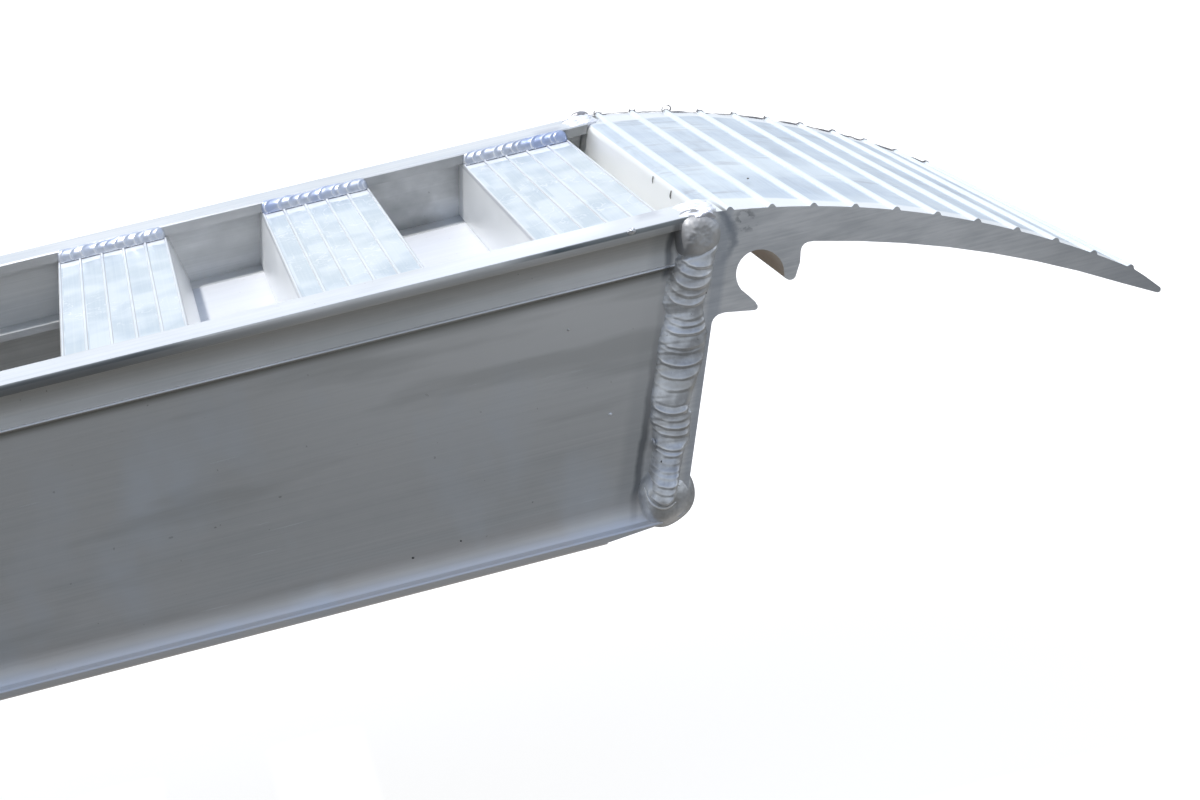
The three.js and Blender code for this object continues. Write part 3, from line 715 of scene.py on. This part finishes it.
def end_weld(side, seed):
    """The tall bead in the corner between a rail's web and the hook leg, over the leg's edge."""
    top_z, length = -9.0, 101.0
    step = 0.22
    columns = 44
    jitter = random.Random(seed)
    # The lips are listed for the right side. Those on the left stray from them a little.
    stray = 0 if side < 0 else 0.8
    lips = [
        (-z + stray * jitter.uniform(-1, 1), strength ** 1.3, *lip_curve(z))
        for z, strength in END_WELD_LIPS
    ]
    ripples = Ripples(lips, flare=2.4, crest=0.45)
    rings = []
    rows = int(length / step)
    for i in range(rows + 1):
        t = length * i / rows
        z = top_z - t
        back = leg_back_x(z)
        nearby = [table_at(END_WELD_OUTLINE, z + dz) for dz in (-0.5, 0, 0.5)]
        left = back + sum(row[0] for row in nearby) / 3 + 0.3 * wobble(seed + 5, 0, t, 0.7)
        right = back + sum(row[1] for row in nearby) / 3 + 0.3 * wobble(seed + 9, 0, t, 0.6)
        fade = math.sqrt(1 - (1 - min(1.0, (length - t) / 3.5 + 0.02)) ** 2)
        swell = 3.9 * easing(t, 74, 97) - 0.35 * math.sin(t * 0.33 + seed)
        top_swell = 1.5 * easing(t, 1, 8) * easing(-t, -24, -11)
        hump = END_WELD_HUMP * easing(t, -3, 7) + swell
        ring = []
        for j in range(columns + 1):
            u = 2 * j / columns - 1
            arch = (1 - abs(u) ** (2.4 + 2.8 * easing(t, 84, 95))) ** 0.5
            out = 4 * (u + 1) + (hump + top_swell * (1 - 0.5 * u)) * arch * (0.4 + 0.6 * fade)
            rise, gleam = ripples.rise(-z, u)
            out += rise * arch ** 0.4 * fade
            out += 0.3 * wobble(u * 2 + seed, t * 0.2, 0, 1.0) * arch
            point = deck(left + (right - left) * j / columns, side * (WEB_OUTER / MM + out - 0.15), z)
            # Painted highlights along the lips, stronger on the left.
            ring.append(marked(point, 1.2 * gleam * (0.75 - 0.35 * u)))
        for x, y in (
            (right, HALF_WIDTH / MM - 2.0),
            (back + 1.0, HALF_WIDTH / MM - 2.4),
            (back - 0.8, WEB_OUTER / MM - 1.2),
            (left, WEB_OUTER / MM - 1.0),
        ):
            ring.append(marked(deck(x, side * y, z), 0))
        rings.append(ring)
    return loft(rings)


def spline_point(before, start, end, after, share):
    """A point between start and end on a smooth curve through four points (Catmull-Rom)."""
    bend = 2 * before - 5 * start + 4 * end - after
    twist = 3 * start - before - 3 * end + after
    return 0.5 * (2 * start + (end - before) * share + bend * share ** 2 + twist * share ** 3)


def smooth_outline(points, count):
    """Points evenly spread in parameter along a closed curve through the given ones."""
    curve = []
    total = len(points)
    for i in range(count):
        at = i * total / count
        k = int(at)
        around = [Vector(points[(k + d) % total]) for d in (-1, 0, 1, 2)]
        curve.append(spline_point(*around, at - k))
    return curve


def pad(side, outline, base_y, front_y, seed, blunt, dents, shade=0.0):
    """A domed lump on the rail's outer side, inside an outline of (x, z) points. Its lip value
    grows to shade towards the rim above and on the hinge's side, where the blob's material lays painted
    shade."""
    curve = smooth_outline(outline, 88)
    centre = sum(curve, Vector((0, 0))) / len(curve)
    depth = front_y - base_y
    rings = [[marked(deck(p.x, side * (base_y - 0.5), p.y), 0) for p in curve]]
    layers = 26
    for i in range(layers + 1):
        s = math.cos(math.pi / 2 * i / (layers + 0.5))
        dome = (1 - s ** blunt) ** 0.5
        ring = []
        for p in curve:
            spot = centre + (p - centre) * s
            bump = dents * wobble(spot.x + seed, spot.y, seed, 0.22)
            bump += 0.3 * dents * wobble(spot.x, spot.y + seed, seed, 0.8)
            out = base_y + depth * dome + bump * min(1.0, 4 * (1 - s))
            heading = (p - centre).normalized()
            upper = max(easing(-heading.x, 0.2, 1.0), easing(heading.y, 0.4, 1.0))
            # The lip value: painted shade towards the rim above and on the hinge's side.
            ring.append(marked(deck(spot.x, side * out, spot.y), shade * upper * s))
        rings.append(ring)
    return loft(rings)


def tube(path, radii, segments=10):
    """A closed round sliver along a path of points in the deck frame, in millimetres."""
    points = [Vector(p) for p in path]
    rings = []
    for i, point in enumerate(points):
        ahead = points[min(i + 1, len(points) - 1)] - points[max(i - 1, 0)]
        across = ahead.cross(Vector((0.3, 1, 0.2))).normalized()
        other = ahead.cross(across).normalized()
        ring = []
        for k in range(segments):
            turn = 2 * math.pi * k / segments
            ring.append(deck(*(point + (across * math.cos(turn) + other * math.sin(turn)) * radii[i])))
        rings.append(ring)
    return loft(rings)


def spindle(steps, thin, thick):
    """Radii of a sliver that is thin at its ends and thicker by up to thick in the middle."""
    return [thin + thick * math.sin(math.pi * (i + 1) / (steps + 2)) for i in range(steps + 1)]


def curve_through(points, count):
    """Points along an open smooth curve through the given ones."""
    points = [Vector(p) for p in points]
    padded = [points[0] * 2 - points[1], *points, points[-1] * 2 - points[-2]]
    curve = []
    for i in range(count + 1):
        at = (len(points) - 1) * i / count
        k = min(int(at), len(points) - 2)
        curve.append(spline_point(*padded[k : k + 4], at - k))
    return curve


def bulb(centre, radii, seed, dents=0.1):
    """A lump of weld metal: a dented ellipsoid."""
    ring_count, segments = 34, 48

    def lump_point(polar, around):
        side_share = math.sin(polar)
        direction = Vector((side_share * math.cos(around), -math.cos(polar), side_share * math.sin(around)))
        swell = 1 + dents * wobble(*(direction * 1.7 + Vector((seed, seed, 0))), 1.0)
        swell += 0.35 * dents * wobble(*(direction * 4.5 + Vector((0, seed, 3))), 1.0)
        local = Vector([along * radius for along, radius in zip(direction, radii)]) * swell
        return deck(*(Vector(centre) + local))

    polars = [math.pi * (i + 0.35) / (ring_count - 0.3) for i in range(ring_count)]
    return loft([[lump_point(p, 2 * math.pi * j / segments) for j in range(segments)] for p in polars])


def plain_bead(path, radius, seed):
    """A rippled round bead along a path in the deck frame, in millimetres."""
    steps = 160
    points = curve_through(path, steps)
    length = (points[-1] - points[0]).length
    draw = random.Random(seed)
    phase = draw.uniform(0, 1)
    radii = []
    for i in range(steps + 1):
        t = length * i / steps
        share = (t / 3.1 + phase + 0.25 * wobble(t, seed, 0, 0.3)) % 1
        ends = min(1.0, (t + 0.3) / 4, (length - t + 0.3) / 4)
        radii.append(radius * (0.94 + 0.12 * share ** 2) * (0.35 + 0.65 * math.sqrt(1 - (1 - ends) ** 2)))
    return tube(points, radii, 20)


def rung_weld(side, centre_x, seed):
    """A fillet bead on a rung's top along the flange's inner edge, up to the flange's top."""
    length = 50.4
    step = 0.3
    columns = 18
    across, high = 4.6, 5.2 if side > 0 else 4.5
    ripples = Ripples(random_lips(seed, length, 4.4, 0.5, -5.0, 2.4), flare=3.0, crest=0.32)
    corner_y = FLANGE_INNER / MM + 0.4
    foot_z = RUNG_TOP_Z - 0.4
    rows = int(length / step)
    rings = []
    for i in range(rows + 1):
        t = length * i / rows
        ends = min(1.0, t / 3, (length - t) / 3)
        fade = math.sqrt(1 - (1 - ends) ** 2)
        swell = (1 + 0.12 * wobble(seed, t, 0, 0.2)) * (0.4 + 0.6 * fade)
        x = centre_x - length / 2 + t
        ring = []
        for j in range(columns + 1):
            u = 2 * j / columns - 1
            angle = math.pi / 2 * j / columns
            rise, gleam = ripples.rise(t, u)
            rise *= (0.3 + 0.7 * (1 - u * u)) * fade
            far = (across * swell + rise) * math.cos(angle) ** 0.95
            up = (high * swell + rise) * math.sin(angle) ** 0.95
            # Painted highlights along the lips.
            ring.append(marked(deck(x, side * (corner_y - far), RUNG_TOP_Z + up), 1.3 * gleam))
        for y, z in (
            (corner_y + 0.8, RUNG_TOP_Z + high * swell * 0.8),
            (corner_y + 0.8, foot_z),
            (corner_y - across * 0.8, foot_z),
        ):
            ring.append(marked(deck(x, side * y, z), 0))
        rings.append(ring)
    return loft(rings)


def seam_weld(side, seed):
    """The crumpled bead across the top of the flange, where it meets the hook plate. Its outer end
    droops over the flange's edge."""
    from_y, bend_y, bend = FLANGE_INNER / MM + 1, HALF_WIDTH / MM - 1, 3.6
    flat_length = bend_y - from_y
    length = flat_length + 1.12 * bend
    step = 0.2
    columns = 56
    rows = int(length / step)
    rings = []
    for i in range(rows + 1):
        t = length * i / rows
        turn = max(0.0, (t - flat_length) / bend)
        along = Vector((0, math.sin(turn), math.cos(turn)))
        base_y = from_y + t if turn == 0 else bend_y + bend * math.sin(turn)
        base_z = -0.12 - bend * (1 - math.cos(turn))
        fade = math.sqrt(max(0.0, 1 - (1 - min(1.0, t / 2.5)) ** 2))
        half = 6.2 + 2.0 * wobble(seed, t, 0, 0.25) - 1.5 * easing(turn, 0, 0.6)
        middle = -1.6 + 1.8 * wobble(seed + 4, t, 0, 0.2)
        ring = []
        for j in range(columns + 1):
            u = 2 * j / columns - 1
            arch = max(0.0, 1 - abs(u) ** 3) ** 0.6
            x = middle + half * u * (0.5 + 0.5 * fade)
            hollow = abs(wobble(x * 0.6 + 0.2 * t, t * 1.1, seed, 0.17))
            fold = abs(wobble(x * 0.8, t * 1.2 - 0.3 * x, seed + 7, 0.24))
            end = easing(length - t, 0, 1.2 + 3.5 * fold)
            up = 0.35 + 0.75 * easing(hollow, 0, 0.35) + 0.25 * easing(fold, 0, 0.3)
            up *= arch * (0.3 + 0.7 * fade)
            up = up * end - 1.2 * (1 - end) - 1.6 * abs(u) ** 4 * easing(turn, 0, 0.5)
            point = deck(x, side * (base_y + along.y * up), base_z + along.z * up)
            # Painted highlights on the crumples' crests, and painted light over the drooping end.
            shine = easing(hollow, 0.0, 0.06) * (0.5 + 0.5 * easing(fold, 0.0, 0.06))
            shine = max((0.75 - 0.3 * easing(turn, 0.1, 0.7)) * shine * end, 0.6 * easing(turn, 0.2, 0.7))
            ring.append(marked(point, shine))
        for under_x in (middle + 1.2, middle - 1.2):
            ring.append(marked(deck(under_x, side * (base_y - along.y * 2.5), base_z - along.z * 2.5), 0))
        rings.append(ring)
    return loft(rings)


# Outlines of the blob on top of the end weld and of the collar round its foot, as (x, z) in
# millimetres of the deck frame.
TOP_BLOB = [
    (-10.2, -1.1),
    (-12.5, -8.8),
    (-11.8, -15.6),
    (-3.5, -17.6),
    (3.0, -14.9),
    (5.9, -7.2),
    (2.6, -1.0),
    (-4.5, 0.8),
]
END_COLLAR = [
    (-46.4, -101.2),
    (-48.4, -110.2),
    (-46.5, -118.2),
    (-40.2, -120.8),
    (-31.0, -117.6),
    (-26.3, -112.0),
    (-25.8, -104.5),
    (-29.5, -97.8),
    (-38.5, -96.0),
]
# The rim where the end weld stops inside its collar, as (x, y, z) on the left side. It carries a painted
# highlight.
END_RIM = [
    (-45.9, 150.9, -101.5),
    (-45.6, 151.6, -106.0),
    (-44.1, 152.9, -108.9),
    (-41.1, 154.0, -110.8),
    (-38.1, 154.3, -110.8),
    (-35.3, 153.9, -109.6),
]
END_RIM_STEPS = 40


def above_hook(angle, y, lift):
    """A point above the hook's curved top, in millimetres of the deck frame."""
    radius = HOOK_ARC_RADIUS + lift
    return Vector((HOOK_ARC_X + radius * math.sin(angle), y, HOOK_ARC_Z + radius * math.cos(angle)))


def edge_burr(seed):
    """The ragged line that the saw left along the left edge of the hook's top, over every rib."""
    first, last = FIRST_RIB - 0.3 * RIB_STEP, FIRST_RIB + (RIB_COUNT - 0.4) * RIB_STEP
    count = 420
    path, radii = [], []
    for i in range(count + 1):
        angle = first + (last - first) * i / count
        phase = (angle - FIRST_RIB) / RIB_STEP
        beside = abs(phase - round(phase)) * RIB_PITCH
        lift = 0.35 + 1.0 * easing(2.2 - beside, 0, 1.6) + 0.25 * wobble(i * 0.13, seed, 0, 1.0)
        y = HALF_WIDTH / MM - 0.3 + 0.2 * wobble(i * 0.11, 0, seed, 1.0)
        path.append(above_hook(angle, y, lift))
        thick = 0.22 + 0.5 * wobble(i * 0.045, seed, 3, 1.0) + 0.10 * easing(phase, 2, 6)
        radii.append(max(0.05, min(0.42, thick)))
    return tube(path, radii, 8)


def rib_curl(k, size, sweep):
    """A sliver at the left end of the k-th rib, curled through a sweep in degrees."""
    height = RIB_HEIGHT + 0.55 * size - 0.6
    centre = above_hook(FIRST_RIB + k * RIB_STEP, HALF_WIDTH / MM - 0.3, height)
    steps = 32
    path, radii = [], []
    for i in range(steps + 1):
        turn = math.radians(-150 + sweep * i / steps)
        spread = size * (1 + 0.25 * i / steps)
        outward = 0.5 * i / steps
        path.append(centre + Vector((1.3 * spread * math.sin(turn), outward, -spread * math.cos(turn))))
        radii.append(0.16 + 0.22 * math.sin(math.pi * (i + 1) / (steps + 3)))
    return tube(path, radii, 8)


# Ribs with a curl at the end: the rib's number, and the curl's size in mm and sweep in degrees.
RIB_CURLS = [(0, 1.2, 230), (1, 0.9, 250), (2, 1.5, 320), (3, 1.1, 200), (4, 1.0, 190), (5, 1.2, 180)]


# Surfaces of the CAD nodes


def shading_group():
    """Geometry nodes that weld a node's faces and shade its round stretches smooth."""
    group = bpy.data.node_groups.new("smooth_round_faces", "GeometryNodeTree")
    group.interface.new_socket("Geometry", in_out="INPUT", socket_type="NodeSocketGeometry")
    group.interface.new_socket("Geometry", in_out="OUTPUT", socket_type="NodeSocketGeometry")
    source = group.nodes.new("NodeGroupInput")
    target = group.nodes.new("NodeGroupOutput")
    merge = group.nodes.new("GeometryNodeMergeByDistance")
    merge.inputs["Distance"].default_value = 0.005 * MM
    smooth = group.nodes.new("GeometryNodeSetShadeSmooth")
    sharp = group.nodes.new("GeometryNodeSetShadeSmooth")
    sharp.domain = "EDGE"
    sharp.inputs["Shade Smooth"].default_value = False
    angle = group.nodes.new("GeometryNodeInputMeshEdgeAngle")
    compare = group.nodes.new("FunctionNodeCompare")
    compare.data_type = "FLOAT"
    compare.operation = "GREATER_THAN"
    compare.inputs[1].default_value = math.radians(28)
    group.links.new(source.outputs[0], merge.inputs["Geometry"])
    group.links.new(merge.outputs["Geometry"], smooth.inputs["Geometry"])
    group.links.new(smooth.outputs["Geometry"], sharp.inputs["Geometry"])
    group.links.new(angle.outputs["Unsigned Angle"], compare.inputs[0])
    group.links.new(compare.outputs["Result"], sharp.inputs["Selection"])
    group.links.new(sharp.outputs["Geometry"], target.inputs[0])
    return group


SHADING = shading_group()


def dress(name, material):
    node = frame["nodes"][name]
    node.data.materials.clear()
    node.data.materials.append(material)
    modifier = node.modifiers.new("smooth_round_faces", "NODES")
    modifier.node_group = SHADING


rail_metal = mill_aluminium(
    "rail_extrusion", (0.84, 0.84, 0.84), (0.66, 0.67, 0.67), "x", 0.42, detail=rail_detail
)
rung_metal = mill_aluminium(
    "rung_tube", (0.65, 0.71, 0.73), (0.54, 0.61, 0.66), "y", 0.36, detail=rung_detail
)
hook_metal = mill_aluminium(
    "hook_extrusion", (0.66, 0.73, 0.79), (0.51, 0.58, 0.66), "y", 0.38, detail=hook_detail
)
plate_metal = mill_aluminium("rolled_plate", (0.72, 0.73, 0.75), (0.64, 0.65, 0.68), "x", 0.5, metallic=0.25)
end_weld_metal = weld_metal("end_weld_metal", (0.54, 0.55, 0.57), (0.92, 0.94, 0.97), 0.34, 0.48)
# The blob's lip colour is dark: painted shade on its rim above and on the hinge's side.
blob_metal = weld_metal(
    "blob_metal", (0.58, 0.59, 0.60), (0.76, 0.76, 0.76), 0.6, 0.7, (0.22, 0.22, 0.23), metallic=0.7
)
rung_weld_metal = weld_metal(
    "rung_weld_metal", (0.44, 0.48, 0.57), (0.70, 0.73, 0.80), 0.36, 0.5, tint=(0.30, 0.39, 0.66)
)
seam_weld_metal = weld_metal(
    "seam_weld_metal", (0.44, 0.45, 0.53), (0.62, 0.63, 0.74), 0.5, 0.62, tint=(0.60, 0.60, 0.72)
)
burr_metal = weld_metal("burr_metal", (0.20, 0.19, 0.19), (0.42, 0.40, 0.40), 0.36, 0.5)
residue = grime("burnt_residue")
steel = zinc_steel("zinc_steel")

FINISH = {
    "rail_extrusion": rail_metal,
    "rung_tube": rung_metal,
    "hook_extrusion": hook_metal,
    "plate": plate_metal,
    "hinge_steel": steel,
}
for subpart in frame["record"]["subparts"]:
    dress(subpart["node"], FINISH[subpart["material_slot"]])


# Weld pieces


def hook_piece(name, bodies, material):
    make_piece(name, bodies, material, "upper_section")


SIDES = {"left": 1, "right": -1}
TOE_X, TOE_FOOT_Z = -1997.4, -58.0
RUNG_TOP_MIDDLE = 31.3 * MM
for side_name, side in SIDES.items():
    seed = 11 if side < 0 else 23
    collar = pad(side, END_COLLAR, WEB_OUTER / MM - 1, 154.0, seed + 3, blunt=3.2, dents=0.35)
    rim_path = curve_through([(x, side * y, z) for x, y, z in END_RIM], END_RIM_STEPS)
    rim = tube(rim_path, spindle(END_RIM_STEPS, 0.12, 0.38))
    # The rim carries a painted highlight.
    end_weld_bodies = [end_weld(side, seed), collar, brightened(rim, 0.9)]
    hook_piece(f"{side_name}_hook_end_weld", end_weld_bodies, end_weld_metal)
    # Its rim above and on the hinge's side gets painted shade.
    blob = pad(side, TOP_BLOB, WEB_OUTER / MM, 156.4, seed, blunt=4.2, dents=0.7, shade=0.8)
    hook_piece(f"{side_name}_hook_corner_blob", [blob], blob_metal)
    hook_piece(f"{side_name}_hook_seam_weld", [seam_weld(side, seed)], seam_weld_metal)
    web = side * (WEB_OUTER / MM + 2.6)
    flange = side * (FLANGE_INNER / MM + 2), side * (HALF_WIDTH / MM - 2.5)
    make_piece(
        f"{side_name}_toe_welds",
        [
            plain_bead([(TOE_X, web, -7), (TOE_X, web, -30), (TOE_X, web, TOE_FOOT_Z)], 4.2, seed),
            plain_bead([(TOE_X, y, -1) for y in (flange[0], sum(flange) / 2, flange[1])], 3.0, seed),
        ],
        end_weld_metal,
        "lower_section",
    )
    for section in ("upper", "lower"):
        rungs = [n for n in sorted(frame["nodes"]) if n.startswith(f"{section}_rung_")]
        beads = []
        for i, rung in enumerate(rungs):
            low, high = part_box(rung)
            middle = (high.x + low.x) / 2 - DECK_X
            # The first rung's box isn't even about its top, because one wall is upright.
            if rung == "upper_rung_1":
                middle = low.x - DECK_X + RUNG_TOP_MIDDLE
            beads.append(rung_weld(side, middle / MM, seed * 100 + i))
        make_piece(
            f"{section}_{side_name}_rung_welds",
            beads,
            rung_weld_metal,
            f"{section}_section",
        )

curls = [rib_curl(k, size, sweep) for k, size, sweep in RIB_CURLS]
hook_piece("left_edge_burrs", [edge_burr(5), *curls], burr_metal)
hook_piece("left_corner_droplet", [bulb((0.9, 152.0, 0.5), (4.2, 2.4, 1.7), 4)], burr_metal)
make_piece(
    "right_weld_spatter",
    [
        bulb((-29.6, -152.3, -0.5), (1.7, 1.2, 1.2), 2, 0.25),
        bulb((-38.0, -147.6, -86.0), (0.6, 1.3, 2.0), 8, 0.25),
        bulb((-52.0, -144.6, -71.0), (0.7, 0.5, 0.6), 9, 0.25),
        bulb((-61.0, -144.6, -34.0), (0.5, 0.4, 0.5), 3, 0.25),
    ],
    end_weld_metal,
    "upper_section",
)


def gouge(spots, thin, thick):
    """A dark sliver through (y, z) spots just off the hook leg's back face, in millimetres."""
    steps = 12
    path = curve_through([(leg_back_x(z) - 0.1, y, z) for y, z in spots], steps)
    return tube(path, spindle(steps, thin, thick))


hook_piece(
    "gouges_and_pits",
    [
        gouge([(-80.3, -2.2), (-80.6, -4.2), (-81.6, -5.2)], 0.1, 0.35),
        gouge([(-40.2, -1.8), (-40.5, -3.2), (-41.4, -4.6)], 0.08, 0.22),
        bulb((-37.0, -151.2, -93.0), (0.55, 0.5, 0.55), 1),
        bulb((-140.3, -144.5, -107.8), (0.6, 0.25, 0.5), 5),
        bulb((-106.6, -144.5, -114.7), (0.5, 0.25, 0.4), 6),
        bulb((-120.5, -144.5, -105.9), (0.4, 0.2, 0.4), 7),
        bulb((31.5, -85.0, -4.0), (0.5, 0.9, 0.3), 8),
    ],
    residue,
)


# Camera, light and floor

# The camera's place in millimetres of the deck frame, and its directions.
CAMERA_FROM_DECK = (-201.6, -1352.6, 236.1)
CAMERA_RIGHT = Vector((0.963, -0.1692, -0.2097)).normalized()
CAMERA_FORWARD = Vector((0.1171, 0.9637, -0.2397)).normalized()
camera_data = bpy.data.cameras.new("camera")
camera_data.lens = 96
camera_data.sensor_width = 36
camera_data.clip_start = 0.05
camera_data.clip_end = 100
camera = bpy.data.objects.new("camera", camera_data)
bpy.context.scene.collection.objects.link(camera)
camera_up = CAMERA_RIGHT.cross(CAMERA_FORWARD)
rotation = Matrix((CAMERA_RIGHT, camera_up, -CAMERA_FORWARD)).transposed()
camera.matrix_world = Matrix.Translation(deck(*CAMERA_FROM_DECK)) @ rotation.to_4x4()
bpy.context.scene.camera = camera

# The sky's colours by height, from straight down at -1 to straight up at 1.
SKY = [
    (-1.0, (0.46, 0.44, 0.42)),
    (-0.6, (0.26, 0.26, 0.25)),
    (-0.14, (0.165, 0.167, 0.168)),
    (0.0, (0.38, 0.40, 0.41)),
    (0.16, (1.02, 1.06, 1.10)),
    (0.40, (0.90, 0.98, 1.08)),
    (0.80, (0.50, 0.61, 0.84)),
    (1.0, (0.42, 0.54, 0.80)),
]


def make_world():
    """A studio of one soft sky: pale low down, bluer overhead and dim below the horizon."""
    world = bpy.data.worlds.new("studio")
    world.use_nodes = True
    tree = world.node_tree
    tree.nodes.clear()
    direction = add(tree, "ShaderNodeTexCoord").outputs["Generated"]
    split = add(tree, "ShaderNodeSeparateXYZ", {"Vector": direction})
    ramp = add(tree, "ShaderNodeValToRGB", {"Fac": remap(tree, split.outputs["Z"], -1.0, 1.0)})
    stops = ramp.color_ramp.elements
    for height, _ in SKY[1:-1]:
        stops.new((height + 1) / 2)
    for stop, (height, colour) in zip(sorted(stops, key=lambda e: e.position), SKY):
        stop.position = (height + 1) / 2
        stop.color = (*colour, 1)
    low = remap(tree, split.outputs["X"], -0.1, 0.35, 0.38, 0.80)
    dim = remap(tree, split.outputs["Y"], -0.9, 0.4, low, 1.0)
    shade = add(tree, "ShaderNodeCombineXYZ", {"X": dim, "Y": dim, "Z": dim}).outputs["Vector"]
    colour = mix_colour(tree, 1.0, ramp.outputs["Color"], shade, "MULTIPLY")
    background = add(tree, "ShaderNodeBackground", {"Color": colour, "Strength": 1.0})
    add(tree, "ShaderNodeOutputWorld", {"Surface": background.outputs["Background"]})
    bpy.context.scene.world = world


make_world()

SUN_FROM = Vector((-0.37, 0.08, 1.0))
sun_data = bpy.data.lights.new("sun", "SUN")
sun_data.energy = 3.4
sun_data.angle = math.radians(4)
sun_data.color = (1.0, 0.99, 0.97)
sun = bpy.data.objects.new("sun", sun_data)
sun.rotation_euler = SUN_FROM.to_track_quat("Z", "Y").to_euler()
bpy.context.scene.collection.objects.link(sun)


def make_floor():
    """A pale plane, low enough for the lower section when it is folded under the upper one."""
    half = 30.0
    fold_gap, clearance = 8 * MM, 4 * MM
    level = 2 * CAD_BOX[0].z - DECK_Z - fold_gap - clearance
    mesh = bpy.data.meshes.new("floor")
    corners = [(-half, -half), (half, -half), (half, half), (-half, half)]
    mesh.from_pydata([(x, y, level) for x, y in corners], [], [(0, 1, 2, 3)])
    floor = bpy.data.objects.new("floor", mesh)
    bpy.context.scene.collection.objects.link(floor)
    material, _, shader = new_material("floor")
    shader.inputs["Base Color"].default_value = (0.3, 0.3, 0.3, 1)
    shader.inputs["Roughness"].default_value = 0.9
    shader.inputs["Emission Color"].default_value = (1, 1, 1, 1)
    shader.inputs["Emission Strength"].default_value = 0.86
    mesh.materials.append(material)
    floor.visible_diffuse = False
    floor.visible_glossy = False


make_floor()
bpy.context.scene.view_settings.view_transform = "Standard"
